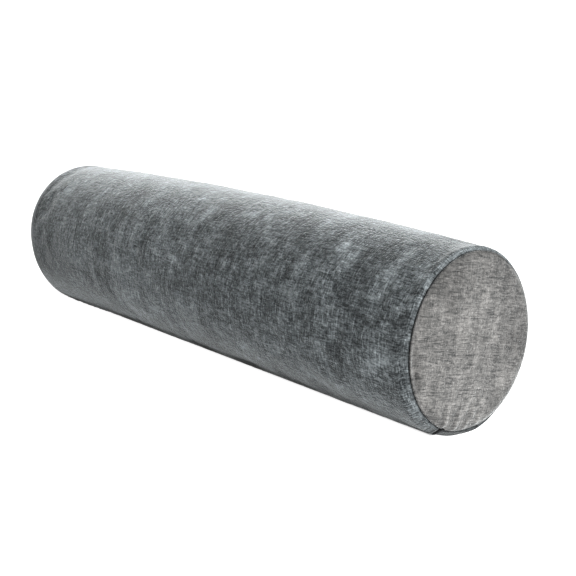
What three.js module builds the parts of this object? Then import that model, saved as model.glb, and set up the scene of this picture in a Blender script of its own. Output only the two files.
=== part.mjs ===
// Neck roll pillow: a firm round bolster in chenille, lying on its side.
//
// The cover is three cut pieces. A rectangle of cloth is wrapped round the filling and closed by one seam
// along the underside, and a round of cloth is sewn into each end with a plain seam. The filling pushes the
// body out a little at mid-length and crowns the ends. The roll's own weight presses a narrow flat along the
// underside of the body, but not the firmer end seams, and the ends are a few degrees askew, as hand-filled
// ends are.
//
// Units are millimetres. +X runs along the roll to its near end, -Y is its front and +Z is up. The origin
// is on the floor, under the middle of the roll's bounding box.

import * as THREE from "three";

// Driving dimensions.
const LENGTH = 590; // over the crowns of the two end panels, before their ends went askew
const END_RADIUS = 75; // of the roll, where its shoulders begin
const MIDDLE_SWELL = 2.5; // what the filling adds to that radius at mid-length
const SWELL_POWER = 2.5; // how long the roll stays full before it narrows
const SEAM_RADIUS = 70.5; // of the two end seams
const SETTLED = 2.3; // how much of the underside the roll's weight presses flat
const CLOTH = 2; // thickness of an end panel
const SEAM_GAP = 0.5; // between an end panel and the body
const CROWN_POWER = 5; // how flat an end panel's middle is, and how tight its round edge

// The two ends: which way each faces, how round its shoulder is, how high its panel is crowned, and how far
// it is askew, as the slopes that carry its top and its front outwards.
const NEAR_END = { side: 1, shoulderRadius: 12, crown: 5.8, topOut: -0.026, frontOut: 0.054 };
const FAR_END = { side: -1, shoulderRadius: 26, crown: 11.4, topOut: 0.1, frontOut: 0 };
const ASKEW_POWER = 6; // how close to its end the roll starts to go askew

// The closing seam of the body panel.
const CLOSING_SEAM_TURN = THREE.MathUtils.degToRad(150); // from straight up, over the front
const CLOSING_SEAM_DEPTH = 1.6;

// How finely the round shapes are divided.
const TURNS = 72; // round the roll: the closing seam falls on a division
const BARREL_STEPS = 10; // from mid-length to a shoulder
const SHOULDER_STEPS = 4;
const CROWN_STEPS = 6;

const HALF_LENGTH = LENGTH / 2;

/** Even shares from 0 to 1. */
function shares(count) {
  return Array.from({ length: count + 1 }, (_, i) => i / count);
}

/** Where an end's shoulder starts, how far it turns and where its seam lies. */
function measure(end) {
  const shoulderTurn = Math.acos(1 - (END_RADIUS - SEAM_RADIUS) / end.shoulderRadius);
  const seamX = HALF_LENGTH - end.crown;
  const shoulderStart = seamX - end.shoulderRadius * Math.sin(shoulderTurn);
  return { ...end, shoulderStart, shoulderTurn, seamX };
}

const NEAR = measure(NEAR_END);
const FAR = measure(FAR_END);

/** The body's radius at a distance from mid-length, up to where that end's shoulder starts. */
function barrelRadius(distance, end) {
  const share = Math.min(distance / end.shoulderStart, 1);
  return END_RADIUS + MIDDLE_SWELL * (1 - share ** SWELL_POWER);
}

/** The crowned surface of an end as (radius, distance), from its centre to its rim, let in by depth. */
function crownProfile(end, depth) {
  return shares(CROWN_STEPS).map((share) => {
    const turn = (share * Math.PI) / 2;
    const outward = Math.sin(turn) ** (2 / CROWN_POWER);
    const raised = Math.cos(turn);
    const surface = new THREE.Vector2(SEAM_RADIUS * outward, end.seamX + end.crown * raised);
    const normal = new THREE.Vector2(
      (CROWN_POWER * outward ** (CROWN_POWER - 1)) / SEAM_RADIUS,
      (2 * raised) / end.crown,
    ).normalize();
    return surface.addScaledVector(normal, -depth);
  });
}

/** Half of the body's profile as (radius, distance), from mid-length to the centre of that end. */
function halfBodyProfile(end) {
  const barrel = shares(BARREL_STEPS).map((share) => {
    const distance = share * end.shoulderStart;
    return new THREE.Vector2(barrelRadius(distance, end), distance);
  });
  const shoulder = shares(SHOULDER_STEPS).map((share) => {
    const turn = share * end.shoulderTurn;
    return new THREE.Vector2(
      END_RADIUS - end.shoulderRadius * (1 - Math.cos(turn)),
      end.shoulderStart + end.shoulderRadius * Math.sin(turn),
    );
  });
  const underPanel = crownProfile(end, CLOTH + SEAM_GAP).reverse();
  return [...barrel, ...shoulder.slice(1), ...underPanel];
}

/** An end panel's closed profile: its inner face out to the rim, and its outer face back to the centre. */
function panelProfile(end) {
  const standOff = (p) => new THREE.Vector2(p.x, p.y + SEAM_GAP);
  const inner = crownProfile(end, CLOTH).map(standOff);
  const outer = crownProfile(end, 0).map(standOff);
  return [...inner, ...outer.reverse()];
}

/** The same profile facing the other way along the roll. */
function mirrored(profile) {
  return profile.map((p) => new THREE.Vector2(p.x, -p.y)).reverse();
}

/** Presses the closing seam's line into the body, whose axis is still the X axis. */
function crease(point) {
  const turn = Math.atan2(-point.y, point.z);
  const radius = Math.hypot(point.y, point.z);
  const onSeam = Math.abs(turn - CLOSING_SEAM_TURN) < Math.PI / TURNS;
  if (!onSeam || radius <= SEAM_RADIUS) return point;
  const share = Math.max(radius - CLOSING_SEAM_DEPTH, SEAM_RADIUS) / radius;
  return point.set(point.x, point.y * share, point.z * share);
}

/** Lays the roll on the floor: its axis rises off the X axis, its underside flattens and its ends go askew. */
function settle(point) {
  const { x, y, z } = point;
  const end = x > 0 ? NEAR : FAR;
  const distance = Math.abs(x);
  const towardsSeam = THREE.MathUtils.smoothstep(distance, end.shoulderStart, end.seamX - CLOTH);
  const axisHeight = barrelRadius(distance, end) - SETTLED * (1 - towardsSeam);
  const slope = end.topOut * z - end.frontOut * y;
  const askew = slope * Math.min(distance / HALF_LENGTH, 1) ** ASKEW_POWER;
  return point.set(x + end.side * askew, y, Math.max(z + axisHeight, 0));
}

/** The profile turned round the X axis, with each of its points then moved by shape. */
function turned(profile, shape) {
  const geometry = new THREE.LatheGeometry(profile, TURNS).rotateZ(-Math.PI / 2);
  const positions = geometry.getAttribute("position");
  const point = new THREE.Vector3();
  for (let i = 0; i < positions.count; i++) {
    shape(point.fromBufferAttribute(positions, i));
    positions.setXYZ(i, point.x, point.y, point.z);
  }
  geometry.computeVertexNormals();
  return geometry;
}

/** One piece of the pillow, in its own copy of the grey chenille. */
function chenillePiece(name, geometry, color) {
  const material = new THREE.MeshStandardMaterial({ color, roughness: 0.95, metalness: 0 });
  const mesh = new THREE.Mesh(geometry, material);
  mesh.name = name;
  return mesh;
}

function bodyRoll() {
  const profile = [...mirrored(halfBodyProfile(FAR)).slice(0, -1), ...halfBodyProfile(NEAR)];
  const geometry = turned(profile, (point) => settle(crease(point)));
  return chenillePiece("body_roll", geometry, 0x63686b);
}

/** The crowned round of cloth sewn into one end. */
function endPanel(name, end) {
  const profile = panelProfile(end);
  const geometry = turned(end.side > 0 ? profile : mirrored(profile), settle);
  return chenillePiece(name, geometry, 0x6b6e6f);
}

const pillow = new THREE.Group();
pillow.add(bodyRoll(), endPanel("end_panel_near", NEAR), endPanel("end_panel_far", FAR));

// Its askew ends move the middle of the roll's box, so the roll is centred over the origin again.
const box = new THREE.Box3().setFromObject(pillow);
pillow.position.x = -(box.min.x + box.max.x) / 2;

export default pillow;
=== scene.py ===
"""Neck roll pillow in mottled grey chenille, lying on its side on a pale floor.

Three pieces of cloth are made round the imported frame: the filled body, whose cover is wrapped round and
closed by one seam low on its front, and the two round end panels sewn into it. Each takes the roll's
measured shape. A short cloth simulation finds how the cloth draws and puckers beside the lines where it is
sewn, and after it come the turned-in edges, the ridges of the seam allowances and the pull of the stitches.

Metres, in the frame's axes: +X along the roll to its near end, -Y the front, +Z up, the floor at Z = 0.
A turn is an angle round the roll from straight up, over the front. The tables give turns in degrees.
"""

import math

import bpy
import numpy as np
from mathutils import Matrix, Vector


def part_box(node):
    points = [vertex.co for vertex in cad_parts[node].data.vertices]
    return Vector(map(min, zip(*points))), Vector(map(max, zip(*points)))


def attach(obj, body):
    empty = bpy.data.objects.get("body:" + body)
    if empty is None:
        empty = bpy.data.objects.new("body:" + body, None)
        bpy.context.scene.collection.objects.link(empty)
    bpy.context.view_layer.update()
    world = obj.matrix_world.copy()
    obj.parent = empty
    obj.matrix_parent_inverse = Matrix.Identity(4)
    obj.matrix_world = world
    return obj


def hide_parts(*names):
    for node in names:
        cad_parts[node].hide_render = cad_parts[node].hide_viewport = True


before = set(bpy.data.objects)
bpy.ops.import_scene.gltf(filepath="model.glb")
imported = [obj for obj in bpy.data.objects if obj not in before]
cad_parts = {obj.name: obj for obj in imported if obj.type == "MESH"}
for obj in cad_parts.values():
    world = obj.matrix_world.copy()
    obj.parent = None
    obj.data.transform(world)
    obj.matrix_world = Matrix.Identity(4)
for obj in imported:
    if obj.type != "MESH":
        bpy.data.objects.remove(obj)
SCENE = bpy.context.scene
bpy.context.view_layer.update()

MM = 0.001
TURN = 2 * math.pi


def rows(names, *values):
    """The rows of a table, each with its values under the names."""
    return [dict(zip(names.split(), row)) for row in values]


# -------- sizes taken from the frame
BODY_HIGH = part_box("body_roll")[1]
NEAR_LOW, NEAR_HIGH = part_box("end_panel_near")
SEAM_RADIUS = (NEAR_HIGH.z - NEAR_LOW.z) / 2
# The weight doesn't press the end seams down, so their middle lies at the end's radius.
END_RADIUS = (NEAR_HIGH.z + NEAR_LOW.z) / 2
MIDDLE_RADIUS = BODY_HIGH.y
SETTLED = 2 * MIDDLE_RADIUS - BODY_HIGH.z

# -------- sizes of the roll's own shape
HALF_LENGTH = 295 * MM  # over the crown of an end panel, before the ends went askew
CENTRING = 0.65 * MM  # centres the roll's box over the origin
SWELL_POWER = 2.5
RIM_SLOPE = 1.4  # how steeply an end panel rises from its seam
RIM_SPREAD = 0.6 * MM  # how far beyond its seam a panel's face would reach, if it were carried on
DOME_SHARE = 0.12  # of a panel's height that's an even dome over its whole face
FRONT_DOME_SHARE = 0.8  # the same at the front of the near panel
FRONT, FRONT_WIDE = math.radians(95), math.radians(75)
DOME_FADE = 2.5 * MM  # how near the seam that front part meets the rest
LOW_SIDE, LOW_SIDE_WIDE = math.radians(252), math.radians(42)
LOW_SIDE_REACH = 1.2 * MM
LOW_SIDE_IN, LOW_SIDE_RIM, LOW_SIDE_LONG = 12 * MM, 1 * MM, 8 * MM  # how it fades from the seam
PULLED, PULLED_WIDE = math.radians(178), math.radians(15)
PULLED_BY = 1.3 * MM
ASKEW_POWER = 6
CLOTH = 2 * MM

# The two ends: the side they face, the radius of the shoulder, the height of the panel's crown, the slopes
# that carry their top and their front outwards, and the angle at which the panel's cloth is set in.
NEAR, FAR = rows(
    "side shoulder crown top_out front_out grain",
    (1, 12 * MM, 5.8 * MM, -0.026, 0.054, -12),
    (-1, 26 * MM, 11.4 * MM, 0.1, 0, 5),
)

# The turned-in edges that meet in an end seam.
LIP = 0.6 * MM  # radius of the turn of each edge
SEAM_OPENING = 0.42 * MM  # between the two edges, below their turns
SEAM_DEPTH = 3.2 * MM
SEAM_FOOT = SEAM_RADIUS - SEAM_DEPTH
UNDER_PANEL = 0.4 * MM  # between an end panel and the filling behind it
EDGE_RADIUS = SEAM_RADIUS - LIP  # of a panel, where its edge turns in

for end in (NEAR, FAR):
    full_turn = math.acos(1 - (END_RADIUS - SEAM_RADIUS) / end["shoulder"])
    end["seam"] = HALF_LENGTH - end["crown"]
    end["start"] = end["seam"] - end["shoulder"] * math.sin(full_turn)
    edge = end["seam"] - SEAM_OPENING / 2
    end["turn"] = math.asin((edge - LIP - end["start"]) / (end["shoulder"] - LIP))
    end["cloth"] = end["start"] + end["shoulder"] * end["turn"] + LIP * (math.pi / 2 - end["turn"])

# -------- seams
CLOSING_SEAM = math.radians(152.5)  # its turn
CLOSING_DEPTH, CLOSING_WIDE = 2 * MM, 1 * MM
STITCH = 3.2 * MM
STITCH_REACH = 2 * MM  # how far from a seam its stitches pull the cloth in
CLOSING_STITCH_PULL = 0.06 * MM
END_STITCH_PULL = 0.025 * MM
ALLOWANCE = 4.6 * MM  # how far the turned-in cloth reaches from a seam
ALLOWANCE_START, ALLOWANCE_FULL = 0.7 * MM, 2.2 * MM  # where the ridge that it makes rises
ALLOWANCE_EDGE = 0.6 * MM  # how softly the ridge ends, to each side
END_ALLOWANCE_HIGH = 0.15 * MM
CLOSING_ALLOWANCE_HIGH = 0.4 * MM
NOTCH_DEPTH, NOTCH_WIDE = 1.2 * MM, 1.8 * MM  # where the closing seam runs into an end seam
NOTCH_ON_BODY, NOTCH_ON_PANEL = 3.5 * MM, 2.5 * MM  # how far it reaches from the end seam
NOTCH_PULL, NOTCH_ANGLE = 1.6 * MM, math.radians(3.5)  # how it draws a panel in, in the simulation

# How fine the meshes are.
BARREL_ROWS = 107
SHOULDER_ROWS = 15
LIP_ROWS = 4
WALL_ROWS = 3
CAP_ROWS = 6
AROUND = 360
FINE_COLUMNS = 20  # on each side of the closing seam
FINE_STEP = 0.6 * MM
PANEL_SQUARE = 120  # cells along a side of the square in a panel's middle
SQUARE_HALF = 36 * MM
SQUARE_ROUNDING, ROUNDED_SIZE = 0.5, 1.2
MORPH_ROWS = 16  # between that square and the rings round it
PANEL_ROUND = 52 * MM  # outside this radius a panel's mesh runs in rings
FACE_ROWS = 28
BACK_RADII = (0.985, 0.93, 0.85, 0.7, 0.45, 0.2)  # of a panel's inner face, as shares of the seam foot's


# -------- helpers for shapes
def smoothstep(low, high, x):
    t = np.clip((x - low) / (high - low), 0, 1)
    return t * t * (3 - 2 * t)


def window(x, rise, full, fall, end):
    """One between a rising and a falling slope, and zero outside them."""
    return smoothstep(rise, full, x) * (1 - smoothstep(fall, end, x))


def bell(x, width):
    return np.exp(-((x / width) ** 2))


def around(angle):
    """An angle brought between minus and plus half a turn."""
    return (angle + math.pi) % TURN - math.pi


def patches(p, q, long_p, long_q, seed):
    """Smooth noise between -1 and 1 over a cloth's two directions, in patches of about those lengths."""
    table = np.random.default_rng(seed).uniform(-1, 1, (256, 256))
    a, b = p / long_p, q / long_q
    i, j = np.floor(a).astype(int), np.floor(b).astype(int)
    s, t = a - i, b - j
    s, t = s * s * (3 - 2 * s), t * t * (3 - 2 * t)
    i, j = i % len(table), j % len(table)
    i2, j2 = (i + 1) % len(table), (j + 1) % len(table)
    low = table[i, j] * (1 - s) + table[i2, j] * s
    high = table[i, j2] * (1 - s) + table[i2, j2] * s
    return low * (1 - t) + high * t


def lumpy(p, q, lumps, shift=0):
    """Height of a table of lumps over a cloth's two directions. A shift of their seeds moves them."""
    return sum(lump["high"] * patches(p, q, lump["p"], lump["q"], lump["seed"] + shift) for lump in lumps)


def sampled(field, row, column):
    """Values of a grid, which is closed along its columns, at fractional rows and columns."""
    count, columns = field.shape
    i = np.clip(np.floor(row).astype(int), 0, count - 2)
    j = np.floor(column).astype(int)
    s, t = np.clip(row - i, 0, 1), column - j
    j, j2 = j % columns, (j + 1) % columns
    low = field[i, j] * (1 - s) + field[i + 1, j] * s
    high = field[i, j2] * (1 - s) + field[i + 1, j2] * s
    return low * (1 - t) + high * t


def round_the_axis(x, radius, angle):
    """Points at distances x along the axis, and at radii and turns round it."""
    x, radius, angle = np.broadcast_arrays(x, radius, angle)
    return np.stack([x, -radius * np.sin(angle), radius * np.cos(angle)], axis=-1).reshape(-1, 3)


# -------- shape of the roll
def barrel_radius(distance, start):
    share = np.minimum(distance / start, 1)
    return END_RADIUS + (MIDDLE_RADIUS - END_RADIUS) * (1 - share**SWELL_POWER)


def crown(radius, end, turn=None):
    """How far from mid-length an end panel's face is, at a radius and a turn.

    Towards its front the near panel is an even dome. Round the rest of it the face is flatter in its middle
    and rounder at its rim, as it is all round the far panel.
    """
    share = DOME_SHARE
    if turn is not None and end is NEAR:
        share = DOME_SHARE + (FRONT_DOME_SHARE - DOME_SHARE) * bell(around(turn - FRONT), FRONT_WIDE)
    dome = end["crown"] * share
    rim = end["crown"] - dome
    rise = 1 - np.exp(-RIM_SLOPE * (SEAM_RADIUS + RIM_SPREAD - radius) / rim)
    return end["seam"] + rim * rise + dome * (1 - (radius / SEAM_RADIUS) ** 2)


def low_side(turn):
    """How far the near seam reaches out low on its back, where it is fullest, less its pull underneath."""
    reach = LOW_SIDE_REACH * bell(around(turn - LOW_SIDE), LOW_SIDE_WIDE)
    return reach - PULLED_BY * bell(around(turn - PULLED), PULLED_WIDE)


def uneven(points):
    """Points of the roll as cut, with the near end's own dome and fuller low side."""
    x, y, z = points.T
    radius, turn = np.hypot(y, z), np.arctan2(-y, z)
    at_rim = smoothstep(SEAM_RADIUS - LOW_SIDE_IN, SEAM_RADIUS - LOW_SIDE_RIM, radius)
    at_rim = at_rim * smoothstep(NEAR["seam"] - LOW_SIDE_LONG, NEAR["seam"], x)
    grown = 1 + low_side(turn) * at_rim / np.maximum(radius, MM)
    lower = crown(radius, NEAR, turn) - crown(radius, NEAR)
    lower = lower * smoothstep(0, DOME_FADE, SEAM_RADIUS - radius) * (x > 0)
    return x + lower, y * grown, z * grown


def settle(points):
    """Where points of the roll as cut, whose axis is the X axis, lie on the resting roll."""
    x, y, z = uneven(points)
    distance = np.abs(x)
    near = x > 0

    def of_end(key):
        return np.where(near, NEAR[key], FAR[key])

    towards_seam = smoothstep(of_end("start"), of_end("seam") - CLOTH, distance)
    axis = barrel_radius(distance, of_end("start")) - SETTLED * (1 - towards_seam)
    slope = of_end("top_out") * z - of_end("front_out") * y
    askew = slope * np.minimum(distance / HALF_LENGTH, 1) ** ASKEW_POWER
    return np.stack([x + of_end("side") * askew + CENTRING, y, np.maximum(z + axis, 0)], axis=1)


# -------- meshes
def mesh_object(name, points, faces):
    mesh = bpy.data.meshes.new(name)
    mesh.from_pydata(np.asarray(points).tolist(), [], [tuple(map(int, f)) for f in faces])
    mesh.polygons.foreach_set("use_smooth", [True] * len(mesh.polygons))
    mesh.update()
    piece = bpy.data.objects.new(name, mesh)
    SCENE.collection.objects.link(piece)
    return piece


def grid_faces(index, closed=False):
    """Quads of a grid, seen from outside when its rows run along +X and its columns over the front."""
    right = np.roll(index, -1, axis=1) if closed else index[:, 1:]
    left = index if closed else index[:, :-1]
    return np.stack([left[:-1], right[:-1], right[1:], left[1:]], axis=-1).reshape(-1, 4)


def fan(middle, first, second):
    """Triangles from a middle point to the sides of a ring, which run from first to second."""
    return np.stack([np.full(len(first), middle), first, second], axis=1)


def read(items, key):
    flat = np.empty(len(items) * 3, np.float32)
    items.foreach_get(key, flat)
    return flat.reshape(-1, 3)


def coordinates(mesh):
    return read(mesh.vertices, "co").astype(float)


def normals_of(mesh):
    return read(mesh.vertex_normals, "vector")


def move(piece, height):
    """Moves a piece's surface along its normals, never below the floor."""
    mesh = piece.data
    points = coordinates(mesh) + normals_of(mesh) * height[:, None]
    points[:, 2] = np.maximum(points[:, 2], 0)
    mesh.vertices.foreach_set("co", points.ravel())
    mesh.update()


def note(piece, name, values):
    """Keeps a value at each point of a piece for its material."""
    kept = piece.data.attributes.new(name, "FLOAT", "POINT")
    kept.data.foreach_set("value", np.asarray(values, np.float32))


def lay_out_cloth(piece, corners):
    """Gives each face corner its place on the flat cloth, in metres."""
    layer = piece.data.uv_layers.new(name="cloth")
    layer.data.foreach_set("uv", np.asarray(corners, np.float32).ravel())


# -------- cloth simulation
SIM_FRAMES = 20
SIM_PRESSURE = 4
SIM_CAP = 1.5 * MM  # no part of the cloth is let further than this from the measured shape
BODY_SIM_ROWS, BODY_SIM_COLUMNS = 101, 100
BODY_SLACK = 0.002  # how much larger than the shape the cloth is cut, as a share
REST_HALF_ANGLE = math.radians(15)  # of the underside that the floor holds flat
SIM_FADE = 40 * MM  # how far from an end seam the cover is drawn in fully
PANEL_SIM_RINGS, PANEL_SIM_COLUMNS = 20, 96
PANEL_SIM_MIDDLE = 2 * MM  # radius of the innermost ring
PANEL_SLACK = 0.012


def inflate(points, faces, held, slack):
    """Lets pressure push cloth out between its held points, and returns how far each point went.

    The cloth is cut a little larger than the shape it starts in, so it can pucker where it is held.
    """
    piece = mesh_object("inflating", points, faces)
    group = piece.vertex_groups.new(name="held")
    group.add([int(i) for i in np.flatnonzero(held)], 1, "REPLACE")
    cloth = piece.modifiers.new("Cloth", "CLOTH")
    settings = cloth.settings
    settings.quality = 6
    settings.vertex_group_mass = group.name
    settings.mass = 0.3
    settings.tension_stiffness = settings.compression_stiffness = 40
    settings.shear_stiffness = 20
    settings.bending_stiffness = 2
    settings.use_pressure = True
    settings.uniform_pressure_force = SIM_PRESSURE
    settings.shrink_min = -slack
    settings.effector_weights.gravity = 0
    cloth.collision_settings.use_collision = False
    cloth.collision_settings.use_self_collision = False
    cloth.point_cache.frame_start = 1
    cloth.point_cache.frame_end = SIM_FRAMES
    normals = normals_of(piece.data)
    for step in range(1, SIM_FRAMES + 1):
        SCENE.frame_set(step)
    inflated = piece.evaluated_get(bpy.context.evaluated_depsgraph_get()).to_mesh()
    moved = coordinates(inflated) - points
    bpy.data.objects.remove(piece)
    SCENE.frame_set(1)
    return (moved * normals).sum(axis=1)


def drawn_in(outward, rings, columns):
    """How the cloth draws in and puckers beside its sewn lines: its movement without each ring's own share.

    Each ring's share is the roll's swell and crown, and those are already in the measured shape.
    """
    field = outward[: rings * columns].reshape(rings, columns)
    field = field - np.median(field, axis=1, keepdims=True)
    return np.clip(field, -SIM_CAP, SIM_CAP)


def body_sim():
    """How the body's cover draws in between its two end seams and its closing seam."""
    far_rings = np.array([(r, -x, -c) for r, x, c in half_body(FAR)[::-1]])
    cover = np.vstack([far_rings, half_body(NEAR)[1:]])
    along = np.linspace(-FAR["cloth"], NEAR["cloth"], BODY_SIM_ROWS)
    radius = np.interp(along, cover[:, 2], cover[:, 0])
    x = np.interp(along, cover[:, 2], cover[:, 1])
    angle = CLOSING_SEAM + np.arange(BODY_SIM_COLUMNS) * TURN / BODY_SIM_COLUMNS
    points = settle(round_the_axis(x[:, None], radius[:, None], angle))
    index = np.arange(len(points)).reshape(BODY_SIM_ROWS, BODY_SIM_COLUMNS)
    faces = grid_faces(index, closed=True)
    held = np.zeros(index.shape, bool)
    held[[0, -1], :] = True
    held[:, 0] = True
    held[:, np.abs(around(angle - math.pi)) < REST_HALF_ANGLE] = True
    return drawn_in(inflate(points, faces, held.ravel(), BODY_SLACK), BODY_SIM_ROWS, BODY_SIM_COLUMNS)


def panel_sim(end):
    """How a panel puckers, held round its rim and pulled in where the closing seam ends."""
    ring = np.linspace(EDGE_RADIUS, PANEL_SIM_MIDDLE, PANEL_SIM_RINGS)
    turns = np.arange(PANEL_SIM_COLUMNS) * TURN / PANEL_SIM_COLUMNS
    radius, angle = np.meshgrid(ring, turns, indexing="ij")
    radius[0] -= NOTCH_PULL * bell(around(turns - CLOSING_SEAM), NOTCH_ANGLE)
    points = round_the_axis(crown(radius, end) * end["side"], radius, angle)
    middle = len(points)
    points = np.vstack([points, [[end["side"] * HALF_LENGTH, 0, 0]]])
    index = np.arange(middle).reshape(radius.shape)
    quads = grid_faces(index[::-1], closed=True)
    faces = [*quads.tolist(), *fan(middle, np.roll(index[-1], -1), index[-1]).tolist()]
    if end["side"] > 0:
        faces = [f[::-1] for f in faces]
    held = np.zeros(len(points), bool)
    held[index[0]] = True
    outward = inflate(settle(points), faces, held, PANEL_SLACK)
    return drawn_in(outward, PANEL_SIM_RINGS, PANEL_SIM_COLUMNS)


# -------- the filled body
# Its filling and pile are uneven: how long the lumps are along the roll and round it, how high they are, and
# the seed that places them.
BODY_LUMPS = rows(
    "p q high seed",
    (62 * MM, 48 * MM, 0.4 * MM, 11),
    (23 * MM, 19 * MM, 0.2 * MM, 12),
    (7 * MM, 11 * MM, 0.1 * MM, 13),
    (2.8 * MM, 9 * MM, 0.06 * MM, 14),
)
LUMPS_FROM_CLOSING, LUMPS_FROM_END = 5 * MM, 4 * MM  # how far from the seams they are in full
# Where the filling is fuller than the plain round shape, or flatter: the middle of the place, as a length
# from mid-length and a turn, how far it spreads both ways, and its height.
FULLNESS = rows(
    "along turn long wide high",
    (90 * MM, -12, 170 * MM, 38, 0.8 * MM),
    (-238 * MM, 138, 48 * MM, 28, 1.9 * MM),
    (285 * MM, 192, 9 * MM, 18, 1.8 * MM),
    (279 * MM, 163, 10 * MM, 12, -0.9 * MM),
)
ALLOWANCE_MEAN = 0.6  # how strongly an end seam's ridge shows
ALLOWANCE_VARIES = rows("p q high seed", (60 * MM, 26 * MM, 0.4, 15))
CLOSING_FADE = 8 * MM  # how far from an end seam the closing seam's ridge is in full
PAST_EDGE = 0.1 * MM  # how far past an end seam's edge the cover still has its relief


def half_body(end):
    """Rings of half of the cover, from mid-length to the edge of its end seam.

    Each is a radius, a distance along the axis and the length of cloth from mid-length.
    """
    rings = []
    for share in np.linspace(0, 1, BARREL_ROWS + 1):
        distance = share * end["start"]
        rings.append((barrel_radius(distance, end["start"]), distance, distance))
    shoulder = end["shoulder"]
    for turn in np.linspace(0, end["turn"], SHOULDER_ROWS + 1)[1:]:
        ring = (END_RADIUS - shoulder * (1 - math.cos(turn)), end["start"] + shoulder * math.sin(turn))
        rings.append((*ring, end["start"] + shoulder * turn))
    radius, distance, cloth = rings[-1]
    for turn in np.linspace(end["turn"], math.pi / 2, LIP_ROWS + 1)[1:]:
        inward = LIP * (math.cos(end["turn"]) - math.cos(turn))
        outward = LIP * (math.sin(turn) - math.sin(end["turn"]))
        rings.append((radius - inward, distance + outward, cloth + LIP * (turn - end["turn"])))
    return rings


def body_end(end):
    """Rings of the filling's end, down the seam's wall and over the face under the end panel."""
    radius, distance, cloth = half_body(end)[-1]
    foot = SEAM_FOOT - UNDER_PANEL
    rings = []
    for share in np.linspace(0, 1, WALL_ROWS + 1)[1:]:
        rings.append((radius + (foot - radius) * share, distance, cloth + (radius - foot) * share))
    for share in np.linspace(0, 1, CAP_ROWS + 1):
        under = (foot - CLOTH) * (1 - share)
        rings.append((under, crown(under, end) - CLOTH - UNDER_PANEL, cloth + radius - under))
    return rings


def body_rings():
    """Rings of the whole body, from its far end to its near one."""
    far = [(r, -x, -c) for r, x, c in (half_body(FAR) + body_end(FAR))[::-1]]
    return np.array(far + (half_body(NEAR) + body_end(NEAR))[1:])


def body_columns():
    """Angles of the body's columns from the closing seam round to it again, closer together beside it."""
    beside = np.arange(FINE_COLUMNS + 1) * FINE_STEP / END_RADIUS
    rest = np.linspace(beside[-1], TURN - beside[-1], AROUND - 2 * FINE_COLUMNS + 1)
    return np.concatenate([beside[:-1], rest, TURN - beside[-2::-1]])


# A place on the cover is the angle from the closing seam and the length of cloth from mid-length.
def to_end_seam(along):
    return np.where(along > 0, NEAR["cloth"], FAR["cloth"]) - np.abs(along)


def to_closing_seam(angle):
    return np.abs(around(angle)) * END_RADIUS


def turn_in_degrees(angle):
    return np.degrees((CLOSING_SEAM + angle) % TURN)


def within(place, angle, along):
    """How much a point of the cover is in a table's place, from one in its middle to zero."""
    off_turn = around(CLOSING_SEAM + angle - math.radians(place["turn"]))
    return bell(along - place["along"], place["long"]) * bell(off_turn, math.radians(place["wide"]))


def allowance(distance):
    """The ridge over a turned-in allowance, at a distance from its seam."""
    ends = (ALLOWANCE - ALLOWANCE_EDGE, ALLOWANCE + ALLOWANCE_EDGE)
    return window(distance, ALLOWANCE_START, ALLOWANCE_FULL, *ends)


def stitches(length):
    """One at each stitch along a seam, and zero between them."""
    return 0.5 + 0.5 * np.cos(TURN * length / STITCH)


def body_relief(angle, along, field):
    """Height of the body's cover over the measured shape."""
    to_closing, to_end = to_closing_seam(angle), to_end_seam(along)
    q = angle * END_RADIUS
    row = (along + FAR["cloth"]) / (FAR["cloth"] + NEAR["cloth"]) * (BODY_SIM_ROWS - 1)
    height = sampled(field, row, angle / TURN * BODY_SIM_COLUMNS) * smoothstep(0, SIM_FADE, to_end)

    lumps = lumpy(along, q, BODY_LUMPS)
    lumps += sum(place["high"] * within(place, angle, along) for place in FULLNESS)
    height += lumps * smoothstep(0, LUMPS_FROM_CLOSING, to_closing) * smoothstep(0, LUMPS_FROM_END, to_end)

    # The allowances turned in at the seams show as low ridges.
    strength = ALLOWANCE_MEAN + lumpy(along, q, ALLOWANCE_VARIES)
    height += END_ALLOWANCE_HIGH * strength * allowance(to_end)
    closing_ridge = allowance(to_closing) * smoothstep(0, CLOSING_FADE, to_end)
    height += CLOSING_ALLOWANCE_HIGH * closing_ridge

    # The closing seam, how its stitches and the end seams' pull the cloth in, and the notch where they meet.
    height -= CLOSING_DEPTH * bell(to_closing, CLOSING_WIDE)
    height -= CLOSING_STITCH_PULL * stitches(along) * bell(to_closing, STITCH_REACH)
    height -= END_STITCH_PULL * stitches(q) * bell(to_end, STITCH_REACH)
    height -= NOTCH_DEPTH * bell(to_closing, NOTCH_WIDE) * bell(to_end, NOTCH_ON_BODY)
    return np.where(to_end > -PAST_EDGE, height, 0)


# -------- how the pile looks, place by place, and the light and shade painted on it
# Rubbed pale and flat on the turned edges beside the seams: how much, how far from the seam, and how widely.
END_WEAR, END_WEAR_AT, END_WEAR_WIDE = 0.45, 0.6 * MM, 1.3 * MM
LOW_FRONT_WEAR = 0.45  # what's added on an end seam low on its front
LOW_FRONT_TURNS = (50, 110, 200, 250)
CLOSING_WEAR, CLOSING_WEAR_AT, CLOSING_WEAR_WIDE = 0.6, 2 * MM, 1.2 * MM
WEAR_MEAN = 0.85
WEAR_VARIES = rows("p q high seed", (9 * MM, 9 * MM, 0.15, 16))
PANEL_WEAR, PANEL_WEAR_AT, PANEL_WEAR_WIDE = 0.4, 1.5 * MM, 1.2 * MM

# Painted shade in the seams, in the notch and along the closing seam.
SEAM_PAINTED_SHADE = 0.78
SEAM_OPEN = 0.55  # how much of that an end seam lacks low on its front, where it lies open
OPEN_TURNS = (88, 112, 142, 158)
CLOSING_DARK_WIDE = 0.9 * MM
NOTCH_DARK_WIDE, NOTCH_DARK_LONG = 1.5 * MM, 3 * MM
PANEL_MOUTH = 0.8 * LIP  # how far a panel is dark outside the opening of its seam
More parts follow.
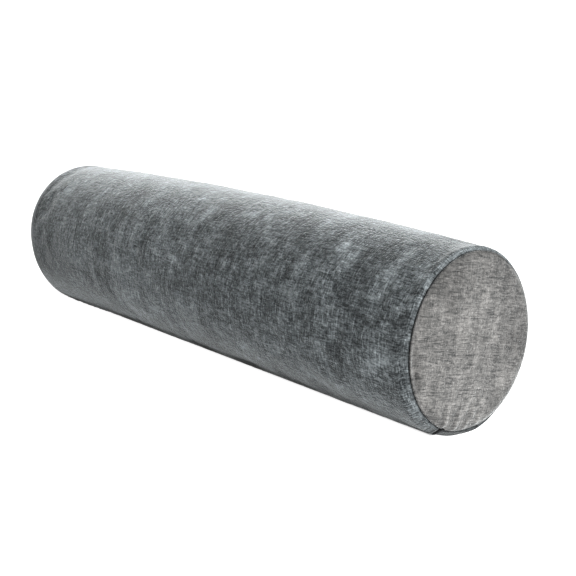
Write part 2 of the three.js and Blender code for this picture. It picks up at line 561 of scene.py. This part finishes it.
# Painted shade on a panel's rim, where it faces the floor and where it closes on the body.
RIM_PAINTED_SHADE = rows("turn wide in reach dark", (196, 30, 0, 1.6 * MM, 0.5), (-38, 42, 0.3 * MM, 1.3 * MM, 0.7))

# A painted contact shadow underneath, where the roll lies on the floor: the turns over which it darkens,
# softly and then firmly, and over which it ends at the back. Towards the near end it starts lower and is
# paler.
UNDER_SOFT = 0.3  # of the darkening comes with the first turns, and the rest with the others
SOFT_TURNS, FIRM_TURNS, BACK_TURNS = (125, 137), (135, 142), (222, 244)
NEAR_END_FROM, NEAR_END_TO = 36 * MM, 12 * MM  # from the near seam
NEAR_END_LOWER, NEAR_END_PALER = 7, 0.25
PALE_UNDER = rows("along long paler", (238 * MM, 24 * MM, 0.5), (178 * MM, 26 * MM, 0.2))
FIRM_MEAN = 0.9
FIRM_VARIES = rows("p q high seed", (34 * MM, 34 * MM, 0.2, 17))

# Where the body is painted lighter or darker, partly for the pile's lie and partly as painted light and
# shade, such as the darker far end, the darker top towards the near end and the darker turned edge beside the
# near seam. Places are as in FULLNESS.
BODY_LIE_AND_PAINTED_LIGHT = rows(
    "along turn long wide lighter",
    (-258 * MM, 72, 34 * MM, 48, -0.5),
    (-35 * MM, 54, 32 * MM, 40, 0.34),
    (-88 * MM, 120, 34 * MM, 18, 0.14),
    (-130 * MM, 106, 34 * MM, 24, -0.26),
    (38 * MM, 102, 32 * MM, 26, -0.16),
    (90 * MM, 62, 24 * MM, 24, 0.34),
    (198 * MM, 58, 50 * MM, 30, 0.22),
    (264 * MM, 102, 22 * MM, 34, 0.2),
    (15 * MM, 136, 48 * MM, 13, -0.18),
    (165 * MM, 136, 42 * MM, 12, -0.14),
    (220 * MM, 140, 34 * MM, 12, -0.2),
    (288 * MM, 68, 4 * MM, 30, -0.38),
    (289 * MM, 8, 5 * MM, 32, 0.06),
    (268 * MM, -4, 30 * MM, 26, -0.34),
    (288 * MM, 118, 5 * MM, 18, 0.04),
    (287 * MM, 139, 8 * MM, 13, -0.2),
    (225 * MM, 124, 40 * MM, 16, 0.1),
    (-240 * MM, 112, 50 * MM, 30, -0.32),
)
# The pile is brushed in lighter and darker strokes round the roll's top, about this turn.
BRUSHED = rows("p q high seed", (7 * MM, 34 * MM, 0.42, 18))
BRUSHED_TURN, BRUSHED_WIDE = math.radians(42), math.radians(34)
# On the near panel: the same, at places from its centre, such as the painted lighter low middle and the
# painted darker rim low towards the back.
PANEL_LIE_AND_PAINTED_LIGHT = rows(
    "y z wide lighter",
    (-30 * MM, 54 * MM, 22 * MM, -0.22),
    (-54 * MM, 4 * MM, 16 * MM, 0.14),
    (10 * MM, 22 * MM, 24 * MM, 0.38),
    (-38 * MM, -28 * MM, 28 * MM, 0.28),
    (52 * MM, -4 * MM, 18 * MM, -0.28),
    (0, -44 * MM, 26 * MM, 0.46),
    (36 * MM, -58 * MM, 14 * MM, -0.35),
)
PUCKER_PAINTED_LIGHT = 0.68 / MM  # painted light and shade on a pucker: how much lighter its ridge and darker its groove are painted, for its height


def body_wear(angle, along):
    """How much of the cover's pile is rubbed pale and flat."""
    low_front = window(turn_in_degrees(angle), *LOW_FRONT_TURNS)
    wear = (END_WEAR + LOW_FRONT_WEAR * low_front) * bell(to_end_seam(along) - END_WEAR_AT, END_WEAR_WIDE)
    wear += CLOSING_WEAR * bell(to_closing_seam(angle) - CLOSING_WEAR_AT, CLOSING_WEAR_WIDE)
    return wear * (WEAR_MEAN + lumpy(along, angle * END_RADIUS, WEAR_VARIES))


def seam_painted_shade(turn):
    """How dark the painted shade in an end seam is at a turn."""
    return SEAM_PAINTED_SHADE - SEAM_OPEN * window(np.degrees(turn % TURN), *OPEN_TURNS)


def painted_contact_shadow(angle, along):
    """How dark the painted contact shadow is underneath, where the roll lies on the floor."""
    at_near_end = smoothstep(NEAR["cloth"] - NEAR_END_FROM, NEAR["cloth"] - NEAR_END_TO, along)
    turn = turn_in_degrees(angle) - NEAR_END_LOWER * at_near_end
    paler = sum(place["paler"] * bell(along - place["along"], place["long"]) for place in PALE_UNDER)
    firm = (1 - NEAR_END_PALER * at_near_end) * (1 - paler)
    firm *= FIRM_MEAN + lumpy(along, 0 * along, FIRM_VARIES)
    dark = UNDER_SOFT * smoothstep(*SOFT_TURNS, turn)
    dark += (1 - UNDER_SOFT) * smoothstep(*FIRM_TURNS, turn) * firm
    return np.clip(dark, 0, 1) * (1 - smoothstep(*BACK_TURNS, turn))


def body_painted_shade(angle, along):
    """How much painted shade the cover has, from 0 on the open surface to 1 deep in a seam, with the painted
    contact shadow underneath.
    """
    to_closing, to_end = to_closing_seam(angle), to_end_seam(along)
    in_end_seam = seam_painted_shade(CLOSING_SEAM + angle) * (1 - smoothstep(-PAST_EDGE, LIP, to_end))
    in_notch = bell(to_closing, NOTCH_DARK_WIDE) * bell(to_end, NOTCH_DARK_LONG)
    in_closing = bell(to_closing, CLOSING_DARK_WIDE)
    return np.clip(in_end_seam + in_closing + in_notch + painted_contact_shadow(angle, along), 0, 1)


def body_lie_and_painted_light(angle, along):
    """How much lighter the pile is painted: brushed strokes, and places that are partly its lie and partly
    painted light and shade.
    """
    strokes = lumpy(along, angle * END_RADIUS, BRUSHED)
    strokes *= bell(around(CLOSING_SEAM + angle - BRUSHED_TURN), BRUSHED_WIDE)
    return strokes + sum(place["lighter"] * within(place, angle, along) for place in BODY_LIE_AND_PAINTED_LIGHT)


def panel_painted_shade(x, to_edge, turn, end):
    """How much painted shade a panel has, at distances from mid-length and from its edge, and at a turn."""
    mouth = end["seam"] + SEAM_OPENING / 2
    dark = (1 - smoothstep(mouth, mouth + PANEL_MOUTH, x)) * seam_painted_shade(turn)
    for rim in RIM_PAINTED_SHADE:
        at_turn = bell(around(turn - math.radians(rim["turn"])), math.radians(rim["wide"]))
        dark += rim["dark"] * bell(to_edge - rim["in"], rim["reach"]) * at_turn
    return np.clip(dark, 0, 1)


def panel_lie_and_painted_light(y, z, end):
    """How much lighter a panel is painted: its puckers' painted light and shade, and places that are partly
    the pile's lie and partly painted light and shade.
    """
    if end is FAR:
        return np.zeros(len(y))
    lighter = PUCKER_PAINTED_LIGHT * puckered(y, z)
    for place in PANEL_LIE_AND_PAINTED_LIGHT:
        lighter += place["lighter"] * bell(np.hypot(y - place["y"], z - place["z"]), place["wide"])
    return lighter


# -------- making the body
def body_cloth(along, columns):
    """Where the corners of the cover's quads lie on its flat cloth."""
    q = columns * END_RADIUS
    corner_p = np.stack([along[:-1], along[:-1], along[1:], along[1:]], axis=1)
    corner_q = np.stack([q[:-1], q[1:], q[1:], q[:-1]], axis=1)
    every_p = np.repeat(corner_p, AROUND, axis=0)
    every_q = np.tile(corner_q, (len(along) - 1, 1))
    return np.stack([every_p, every_q], axis=-1).reshape(-1, 2)


def make_body():
    """The filled body, as rings closed by a fan of triangles at each end."""
    rings, columns = body_rings(), body_columns()
    (far_x, near_x), rings = rings[[0, -1], 1], rings[1:-1]
    points = round_the_axis(rings[:, 1, None], rings[:, 0, None], CLOSING_SEAM + columns[:-1])
    index = np.arange(len(points)).reshape(len(rings), AROUND)
    quads = grid_faces(index, closed=True)
    far_fan = fan(len(points), np.roll(index[0], -1), index[0])
    near_fan = fan(len(points) + 1, index[-1], np.roll(index[-1], -1))
    points = np.vstack([points, [[far_x, 0, 0], [near_x, 0, 0]]])
    faces = [*quads.tolist(), *far_fan.tolist(), *near_fan.tolist()]
    piece = mesh_object("body_roll_cover", settle(points), faces)
    fan_cloth = np.zeros((3 * (len(far_fan) + len(near_fan)), 2))
    lay_out_cloth(piece, np.vstack([body_cloth(rings[:, 2], columns), fan_cloth]))

    # The two middles come last. They are hidden, so nothing moves them and they are dark.
    angle, along = np.tile(columns[:-1], len(rings)), np.repeat(rings[:, 2], AROUND)
    move(piece, np.append(body_relief(angle, along, body_sim()), [0, 0]))
    note(piece, "worn", np.append(body_wear(angle, along), [0, 0]))
    note(piece, "painted_shade", np.append(body_painted_shade(angle, along), [1, 1]))
    # The lie noted here is partly the pile's own and partly painted light and shade.
    note(piece, "lie", np.append(body_lie_and_painted_light(angle, along), [0, 0]))
    return piece


# -------- the end panels
# Lumps as on the body, along the panel's Y and Z. Each end has its own seeds.
PANEL_LUMPS = rows(
    "p q high seed",
    (31 * MM, 24 * MM, 0.35 * MM, 21),
    (12 * MM, 16 * MM, 0.2 * MM, 24),
    (4.5 * MM, 6 * MM, 0.1 * MM, 27),
    (2.2 * MM, 6 * MM, 0.06 * MM, 30),
)
LUMPS_RISE = (0.3 * MM, 5 * MM)  # from a panel's edge, where they rise to their full height
# Soft puckers of the near panel beside the closing seam's end: where each leaves the rim, in degrees from the
# closing seam, and the way it runs over the panel, its length, its width and its height.
PUCKERS = rows(
    "from way long wide high",
    (-0.5, 83, 27 * MM, 3.3 * MM, 0.5 * MM),
    (8.5, 60, 31 * MM, 3.7 * MM, 0.6 * MM),
    (18.5, 51, 32 * MM, 3.7 * MM, 0.5 * MM),
    (28.5, 48, 23 * MM, 3.5 * MM, 0.3 * MM),
)
PUCKER_RISE = (-2 * MM, 3 * MM)  # along a pucker from the rim
PUCKER_FALL = 0.3  # of its length, from where it sinks away
PUCKER_AT_RIM, PUCKER_SPREADS = 0.6, 0.5  # of its width at the rim, and how much wider it gets
GROOVE_DEPTH, GROOVE_OFFSET = 0.9, 1.5  # beside a pucker, for its height and its width
PUCKERS_EDGE = (-0.5 * MM, 1.5 * MM)  # from the panel's edge, where the puckers rise out of the seam
FACE_SAMPLES, CLOTH_SAMPLES = 400, 600  # of a panel's curve, to measure lengths along it


def length_along(a, b):
    """Length along a curve, up to each of its points."""
    return np.concatenate([[0], np.cumsum(np.hypot(np.diff(a), np.diff(b)))])


def face_rings(end):
    """A panel's face round its middle: (radius, distance) from there to the foot of its turned-in edge."""
    radius = np.linspace(PANEL_ROUND, SEAM_RADIUS + RIM_SPREAD, FACE_SAMPLES)
    distance = crown(radius, end)
    way = np.arctan2(np.gradient(distance), np.gradient(radius))  # which way the face runs
    foot = distance - LIP * (1 + np.cos(way))  # of an edge that starts to turn in there
    length = length_along(radius, distance)
    last = np.interp(-end["seam"] - SEAM_OPENING / 2, -foot, length)
    steep = float(np.interp(last, length, way))
    stops = np.linspace(0, last, FACE_ROWS + 1)
    rings = list(zip(np.interp(stops, length, radius), np.interp(stops, length, distance)))
    radius, distance = rings[-1]
    for way in np.linspace(steep, -math.pi, LIP_ROWS + 1)[1:]:
        outward = LIP * (math.sin(steep) - math.sin(way))
        forward = LIP * (math.cos(way) - math.cos(steep))
        rings.append((radius + outward, distance + forward))
    radius, distance = rings[-1]
    for share in np.linspace(0, 1, WALL_ROWS + 1)[1:]:
        rings.append((radius + (SEAM_FOOT - radius) * share, distance))
    return rings


def puckered(y, z):
    """Height of the near panel's puckers at a place measured from its centre."""
    height = np.zeros(len(y))
    for pucker in PUCKERS:
        rim = CLOSING_SEAM + math.radians(pucker["from"])
        way = math.radians(pucker["way"])
        dy = y + EDGE_RADIUS * math.sin(rim)
        dz = z - EDGE_RADIUS * math.cos(rim)
        run = dy * math.cos(way) + dz * math.sin(way)
        across = -dy * math.sin(way) + dz * math.cos(way)
        long = pucker["long"]
        wide = pucker["wide"] * (PUCKER_AT_RIM + PUCKER_SPREADS * np.clip(run / long, 0, 1))
        fold = bell(across, wide) - GROOVE_DEPTH * bell(across - GROOVE_OFFSET * wide, wide)
        height += pucker["high"] * fold * window(run, *PUCKER_RISE, PUCKER_FALL * long, long)
    return height


def panel_relief(y, z, end, field):
    """Height of an end panel's face over the measured crown."""
    angle = np.arctan2(-y, z) % TURN
    to_edge = EDGE_RADIUS - np.hypot(y, z)
    row = to_edge / (EDGE_RADIUS - PANEL_SIM_MIDDLE) * (PANEL_SIM_RINGS - 1)
    height = sampled(field, np.maximum(row, 0), angle / TURN * PANEL_SIM_COLUMNS)
    height += lumpy(y, z, PANEL_LUMPS, end["side"]) * smoothstep(*LUMPS_RISE, to_edge)
    height -= END_STITCH_PULL * stitches(angle * SEAM_RADIUS) * bell(to_edge, STITCH_REACH)
    if end is NEAR:
        height += puckered(y, z) * smoothstep(*PUCKERS_EDGE, to_edge)
    to_closing = around(angle - CLOSING_SEAM) * SEAM_RADIUS
    return height - NOTCH_DEPTH * bell(to_closing, NOTCH_WIDE) * bell(to_edge, NOTCH_ON_PANEL)


def panel_cloth(flat, end):
    """Where points of a panel lie on its own flat cloth, which is set in at the angle of its grain."""
    radii = np.linspace(0, SEAM_RADIUS, CLOTH_SAMPLES)
    radius = np.hypot(*flat.T)
    beyond = np.interp(radius, radii, length_along(radii, crown(radii, end))) - radius
    spread = 1 + beyond / np.maximum(radius, MM)
    grain = math.radians(end["grain"])
    cos, sin = math.cos(grain), math.sin(grain)
    return flat @ np.array([[cos, -sin], [sin, cos]]) * spread[:, None]


def middle_square():
    """Places of the fine mesh in a panel's middle, a grid whose outline is half rounded."""
    steps = np.linspace(-1, 1, PANEL_SQUARE + 1)
    u, v = np.meshgrid(steps, steps, indexing="ij")
    square = np.stack([u, v], axis=-1)
    disc = np.stack([u * np.sqrt(1 - v * v / 2), v * np.sqrt(1 - u * u / 2)], axis=-1)
    return SQUARE_HALF * ((1 - SQUARE_ROUNDING) * square + SQUARE_ROUNDING * ROUNDED_SIZE * disc)


def panel_rings(border, end):
    """Rings of a panel from its middle square's border over its face, its edge and its inner face.

    Each is its places, from the panel's centre, and their distances from mid-length.
    """
    quarter = np.arange(PANEL_SQUARE) / PANEL_SQUARE * TURN / 4
    angle = np.concatenate([quarter + k * TURN / 4 for k in range(4)]) - 3 * TURN / 8
    circle = np.stack([np.cos(angle), np.sin(angle)], axis=1)
    rings = []
    for share in np.linspace(0, 1, MORPH_ROWS + 1)[1:]:
        ring = border * (1 - share) + circle * PANEL_ROUND * share
        rings.append((ring, crown(np.hypot(*ring.T), end)))
    for radius, distance in face_rings(end)[1:]:
        rings.append((circle * radius, np.full(len(circle), distance)))
    for share in BACK_RADII:
        inner_face = crown(SEAM_FOOT * share, end) - CLOTH
        rings.append((circle * SEAM_FOOT * share, np.full(len(circle), inner_face)))
    return rings


def panel_faces(index, rim, rings, end):
    """Quads of the middle square and of the rings round it, and the triangles that close the inner face."""
    quads = [grid_faces(index.T)]
    inner = rim
    for ring in range(rings):
        outer = index.size + ring * len(rim) + np.arange(len(rim))
        quads.append(np.stack([inner, outer, np.roll(outer, -1), np.roll(inner, -1)], axis=1))
        inner = outer
    quads = np.vstack(quads)
    closing = fan(index.size + rings * len(rim), np.roll(inner, -1), inner)
    return (quads, closing) if end["side"] > 0 else (quads[:, ::-1], closing[:, ::-1])


def make_panel(name, end):
    """An end panel: a fine square mesh in its middle, rings round it, and a plain inner face."""
    square = middle_square()
    index = np.arange(square.shape[0] * square.shape[1]).reshape(square.shape[:2])
    rim = np.concatenate([index[:-1, 0], index[-1, :-1], index[:0:-1, -1], index[0, :0:-1]])
    square = square.reshape(-1, 2)
    rings = panel_rings(square[rim], end)
    flat = np.vstack([square, *(places for places, _ in rings), [[0, 0]]])
    face = crown(np.hypot(*square.T), end)
    x = np.concatenate([face, *(distances for _, distances in rings), [HALF_LENGTH - CLOTH]])
    quads, closing = panel_faces(index, rim, len(rings), end)
    points = np.column_stack([end["side"] * x, flat])
    piece = mesh_object(name, settle(points), [*quads.tolist(), *closing.tolist()])
    lay_out_cloth(piece, panel_cloth(flat, end)[np.append(quads, closing)])

    y, z = flat.T
    to_edge, turn = EDGE_RADIUS - np.hypot(y, z), np.arctan2(-y, z)
    note(piece, "worn", PANEL_WEAR * bell(to_edge - PANEL_WEAR_AT, PANEL_WEAR_WIDE))
    note(piece, "painted_shade", panel_painted_shade(x, to_edge, turn, end))
    # The lie noted here is partly the pile's own and partly painted light and shade.
    note(piece, "lie", panel_lie_and_painted_light(y, z, end))
    height = panel_relief(y, z, end, panel_sim(end))
    inside = (WALL_ROWS + 1 + len(BACK_RADII)) * len(rim) + 1  # points in the seam and behind the face
    height[-inside:] = 0
    move(piece, height)
    return piece


body = make_body()
near_panel = make_panel("end_panel_near_cloth", NEAR)
far_panel = make_panel("end_panel_far_cloth", FAR)


# -------- helpers for materials
def new_material(name):
    material = bpy.data.materials.new(name)
    material.use_nodes = True
    return material, material.node_tree, material.node_tree.nodes["Principled BSDF"]


def put(tree, socket, value):
    """Links a socket to another node's output, or sets its value."""
    if isinstance(value, bpy.types.NodeSocket):
        tree.links.new(value, socket)
    else:
        socket.default_value = value


def feed(tree, node, values):
    """Links or sets a node's inputs by their names."""
    for name, value in values.items():
        put(tree, node.inputs[name], value)


def fed(tree, kind, operation, values):
    """The output of a new node that works on the values given."""
    made = tree.nodes.new(kind)
    made.operation = operation
    for socket, value in zip(made.inputs, values):
        put(tree, socket, value)
    return made.outputs[0]


def calculate(tree, operation, *values):
    return fed(tree, "ShaderNodeMath", operation, values)


def combine(tree, operation, *values):
    return fed(tree, "ShaderNodeVectorMath", operation, values)


def times(tree, value, amount):
    return calculate(tree, "MULTIPLY", value, amount)


def less(tree, value, amount):
    """One, less that much of a value."""
    return calculate(tree, "SUBTRACT", 1, times(tree, value, amount))


def total(tree, values):
    result = values[0]
    for value in values[1:]:
        result = calculate(tree, "ADD", result, value)
    return result


def ramp(tree, value, low, high, to_low, to_high):
    made = tree.nodes.new("ShaderNodeMapRange")
    made.interpolation_type = "SMOOTHSTEP"
    feed(tree, made, {"Value": value, "From Min": low, "From Max": high, "To Min": to_low, "To Max": to_high})
    return made.outputs[0]


def attribute(tree, name):
    """A value that was noted at a piece's points."""
    made = tree.nodes.new("ShaderNodeAttribute")
    made.attribute_name = name
    return made.outputs["Fac"]


def cloth_noise(tree, cloth, patch):
    """Noise over the cloth, in patches as long as p and q along its two directions; its mean is a half."""
    scaled = combine(tree, "MULTIPLY", cloth, (1 / patch["p"], 1 / patch["q"], 1))
    made = tree.nodes.new("ShaderNodeTexNoise")
    placed = combine(tree, "ADD", scaled, tuple(patch["seed"] * SEED_STEP))
    feed(tree, made, {"Vector": placed, "Scale": 1, "Detail": patch["detail"], "Roughness": NOISE_ROUGHNESS})
    return made.outputs["Fac"]


# -------- the chenille
NOISE_ROUGHNESS = 0.8
SEED_STEP = np.array((7.3, 3.1, 11.7))  # how far apart in the noise two patterns are
DARK_YARN = np.array((0.009, 0.01, 0.0105))
LIGHT_YARN = np.array((0.106, 0.109, 0.109))
# Yarns, tufts and clumps: how much each shows in the cloth's tone and in its pile's height.
YARNS = rows(
    "p q seed detail tone pile",
    (5.4 * MM, 1.05 * MM, 2, 1, 1.9, 1.0),
    (1.05 * MM, 5.2 * MM, 3, 1, 1.2, 0.8),
    (1.9 * MM, 40 * MM, 4, 1, 0.55, 0.6),
    (40 * MM, 1.7 * MM, 5, 1, 0.75, 0),
    (1.3 * MM, 1.2 * MM, 6, 1, 1.15, 0.8),
    (4.2 * MM, 3.6 * MM, 7, 1, 1.05, 1.2),
)
STRIPES = {"p": 8 * MM, "q": 55 * MM, "seed": 8, "detail": 0}
# Pale blooms, small and large, dark slubs and pale glints: where in the noise they begin and end.
SMALL_BLOOMS, LARGE_BLOOMS, SLUBS, GLINTS = rows(
    "p q seed detail ramp",
    (16 * MM, 13 * MM, 14, 1.5, (0.42, 0.82, 0, 1)),
    (40 * MM, 46 * MM, 13, 1, (0.45, 0.8, 0, 1)),
    (10 * MM, 1.1 * MM, 11, 0, (0.3, 0.42, 1, 0)),
    (1 * MM, 7 * MM, 12, 0, (0.58, 0.72, 0, 1)),
)
BLOOMS = ((SMALL_BLOOMS, 0.7), (LARGE_BLOOMS, 0.5))
TONE_BASE, TONE_POWER, TONE_SCALE = 0.375, 1.7, 1.75  # a power above one makes pale tufts on darker ground
WORN_CALMER, WORN_PALER, WORN_FLATTER = 0.5, 0.08, 0.8  # what wear does to tone, color and pile
# How much the painted shade noted on a piece darkens its colour and its sheen.
PAINTED_SHADE_DARKER = 0.94
ROUGHNESS, SPECULAR = 0.95, 0.15
SHEEN, SHEEN_ROUGHNESS, SHEEN_TINT = 0.62, 0.3, (0.89, 0.93, 0.935, 1)

# The tint, partly the pile's lie and partly painted light: the end panels are painted warmer and paler than
# the body, as if a warm light fell on them. Then how strongly its yarns differ in tone, how much its blooms,
# stripes, pale glints and dark slubs show, and the pile's height.
BODY_CHENILLE, PANEL_CHENILLE = rows(
    "tint contrast blooms stripes glints slubs pile",
    ((0.92, 1, 1.045), 0.62, 0.78, 0.45, 0.25, 0.05, 0.55 * MM),
    ((1.1, 1.04, 1), 0.3, 0.65, 0.7, 0.02, 0.15, 0.5 * MM),
)


def about_zero(tree, noise, amount):
    """A noise brought to a mean of zero and scaled."""
    return times(tree, calculate(tree, "SUBTRACT", noise, 0.5), amount)


def shown(tree, cloth, patch):
    return ramp(tree, cloth_noise(tree, cloth, patch), *patch["ramp"])


def chenille_tone(tree, cloth, noises, look):
    """How light the cloth is, from the dark of its ground at zero."""
    yarns = [about_zero(tree, noise, yarn["tone"]) for noise, yarn in zip(noises, YARNS)]
    yarns.append(about_zero(tree, cloth_noise(tree, cloth, STRIPES), look["stripes"]))
    yarns += [times(tree, shown(tree, cloth, bloom), tone * look["blooms"]) for bloom, tone in BLOOMS]
    contrast = times(tree, less(tree, attribute(tree, "worn"), WORN_CALMER), look["contrast"])
    slubs = times(tree, shown(tree, cloth, SLUBS), -look["slubs"])
    glints = times(tree, shown(tree, cloth, GLINTS), look["glints"])
    tone = total(tree, [times(tree, total(tree, yarns), contrast), slubs, glints, TONE_BASE])
    tone = calculate(tree, "POWER", calculate(tree, "MAXIMUM", tone, 0), TONE_POWER)
    return times(tree, tone, TONE_SCALE)


def make_chenille(name, look):
    """Soft chenille: fuzzy yarns that cross in lighter and darker runs, over a mottled pile."""
    material, tree, shader = new_material(name)
    uv = tree.nodes.new("ShaderNodeUVMap")
    uv.uv_map = "cloth"
    cloth = uv.outputs[0]
    noises = [cloth_noise(tree, cloth, yarn) for yarn in YARNS]

    mix = tree.nodes.new("ShaderNodeMix")
    mix.data_type = "RGBA"
    mix.clamp_factor = False
    dark, light = (*DARK_YARN * look["tint"], 1), (*LIGHT_YARN * look["tint"], 1)
    feed(tree, mix, {"A": dark, "B": light, "Factor": chenille_tone(tree, cloth, noises, look)})

    worn = attribute(tree, "worn")
    paler = calculate(tree, "ADD", times(tree, worn, WORN_PALER), 1)
    # The painted shade noted on the piece darkens both the colour and the sheen.
    unshaded = less(tree, attribute(tree, "painted_shade"), PAINTED_SHADE_DARKER)
    # The lie makes the colour lighter or darker: partly the pile's own lie, partly painted light and shade.
    lit = calculate(tree, "ADD", attribute(tree, "lie"), 1)
    shaded = tree.nodes.new("ShaderNodeVectorMath")
    shaded.operation = "SCALE"
    put(tree, shaded.inputs[0], mix.outputs["Result"])
    put(tree, shaded.inputs["Scale"], times(tree, times(tree, paler, unshaded), lit))

    pile = [times(tree, noise, yarn["pile"]) for noise, yarn in zip(noises, YARNS) if yarn["pile"]]
    bump = tree.nodes.new("ShaderNodeBump")
    height = times(tree, total(tree, pile), less(tree, worn, WORN_FLATTER))
    feed(tree, bump, {"Strength": 1, "Distance": look["pile"], "Height": height})

    looks = {
        "Base Color": shaded.outputs[0],
        "Normal": bump.outputs[0],
        "Roughness": ROUGHNESS,
        "Specular IOR Level": SPECULAR,
        "Sheen Weight": times(tree, unshaded, SHEEN),
        "Sheen Roughness": SHEEN_ROUGHNESS,
        "Sheen Tint": SHEEN_TINT,
    }
    feed(tree, shader, looks)
    return material


body.data.materials.append(make_chenille("chenille_body", BODY_CHENILLE))
panel_chenille = make_chenille("chenille_panel", PANEL_CHENILLE)
for panel in (near_panel, far_panel):
    panel.data.materials.append(panel_chenille)

# -------- floor, light and camera
FLOOR_HALF = 150
FLOOR_COLOR, FLOOR_ROUGHNESS = (0.4, 0.4, 0.4, 1), 0.8
UNLIT_MIDDLE = 8 * MM  # along the roll
UNLIT_WIDE = (22 * MM, 26 * MM)  # from the middle line, over which the floor's glow sets in
UNLIT_LONG = (HALF_LENGTH - 34 * MM, HALF_LENGTH - 26 * MM)
WHITE = (1, 1, 1, 1)
WALLS, ABOVE = 0.65, 0.02  # how bright the studio is all round and overhead
WALL_TOP = (0.15, 0.45)  # upward share of the view's direction, over which the walls end
# Large soft lights: the way to each from the pillow, and its strength.
LIGHTS = rows("name way strength", ("right", (0.92, 0.05, 0.38), 2.9), ("behind", (0.65, 0.65, 0.38), 1.4))
LIGHT_SIZE = math.radians(60)
# The photograph's view: its angle, and how far off, beside and above the pillow's middle the camera is.
AZIMUTH, ELEVATION = math.radians(50.34), math.radians(14)
VIEW_DISTANCE, VIEW_ASIDE, VIEW_ABOVE = 1.1134, 0.0454, -0.01309
LENS, SENSOR = 73.31, 36


def make_floor():
    """A lit white table, as in a studio. No light comes up from it through the cloth that lies on it, nor a
    few millimetres round that: a painted contact shadow on the floor.
    """
    corners = [(x * FLOOR_HALF, y * FLOOR_HALF, 0) for x, y in ((-1, -1), (1, -1), (1, 1), (-1, 1))]
    made = mesh_object("floor", corners, [(0, 1, 2, 3)])
    table, tree, shader = new_material("pale_floor")
    feed(tree, shader, {"Base Color": FLOOR_COLOR, "Roughness": FLOOR_ROUGHNESS, "Emission Color": WHITE})
    where = tree.nodes.new("ShaderNodeSeparateXYZ")
    put(tree, where.inputs[0], tree.nodes.new("ShaderNodeTexCoord").outputs["Object"])
    along = calculate(tree, "ABSOLUTE", calculate(tree, "SUBTRACT", where.outputs[0], UNLIT_MIDDLE))
    beyond_side = ramp(tree, calculate(tree, "ABSOLUTE", where.outputs[1]), *UNLIT_WIDE, 0, 1)
    beyond_end = ramp(tree, along, *UNLIT_LONG, 0, 1)
    put(tree, shader.inputs["Emission Strength"], calculate(tree, "MAXIMUM", beyond_side, beyond_end))
    made.data.materials.append(table)
    return made


def set_up(name, data, rotation):
    """A light or a camera in the scene."""
    made = bpy.data.objects.new(name, data)
    SCENE.collection.objects.link(made)
    made.rotation_mode = "QUATERNION"
    made.rotation_quaternion = rotation
    return made


def make_studio():
    """White walls all round, darker above, and the lights."""
    world = bpy.data.worlds.new("Studio")
    SCENE.world = world
    world.use_nodes = True
    tree = world.node_tree
    height = tree.nodes.new("ShaderNodeSeparateXYZ")
    put(tree, height.inputs[0], tree.nodes.new("ShaderNodeTexCoord").outputs["Generated"])
    bright = ramp(tree, height.outputs[2], *WALL_TOP, WALLS, ABOVE)
    feed(tree, tree.nodes["Background"], {"Color": WHITE, "Strength": bright})
    for light in LIGHTS:
        data = bpy.data.lights.new(light["name"], "SUN")
        data.angle = LIGHT_SIZE
        data.energy = light["strength"] * math.pi
        set_up(light["name"], data, Vector(light["way"]).to_track_quat("Z", "Y"))
    SCENE.view_settings.view_transform = "Standard"


def place_camera():
    """A camera at the photograph's viewing angle."""
    level = math.cos(ELEVATION)
    back = Vector((math.sin(AZIMUTH) * level, -math.cos(AZIMUTH) * level, math.sin(ELEVATION)))
    right = Vector((math.cos(AZIMUTH), math.sin(AZIMUTH), 0))
    middle = Vector((0, 0, END_RADIUS)) + right * VIEW_ASIDE + back.cross(right) * VIEW_ABOVE
    data = bpy.data.cameras.new("Camera")
    data.sensor_width = SENSOR
    data.lens = LENS
    camera = set_up("Camera", data, (-back).to_track_quat("-Z", "Y"))
    camera.location = middle + back * VIEW_DISTANCE
    SCENE.camera = camera


floor = make_floor()
make_studio()
place_camera()

# -------- what rides on what
for piece, node in ((body, "body_roll"), (near_panel, "end_panel_near"), (far_panel, "end_panel_far")):
    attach(piece, "root")
    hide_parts(node)
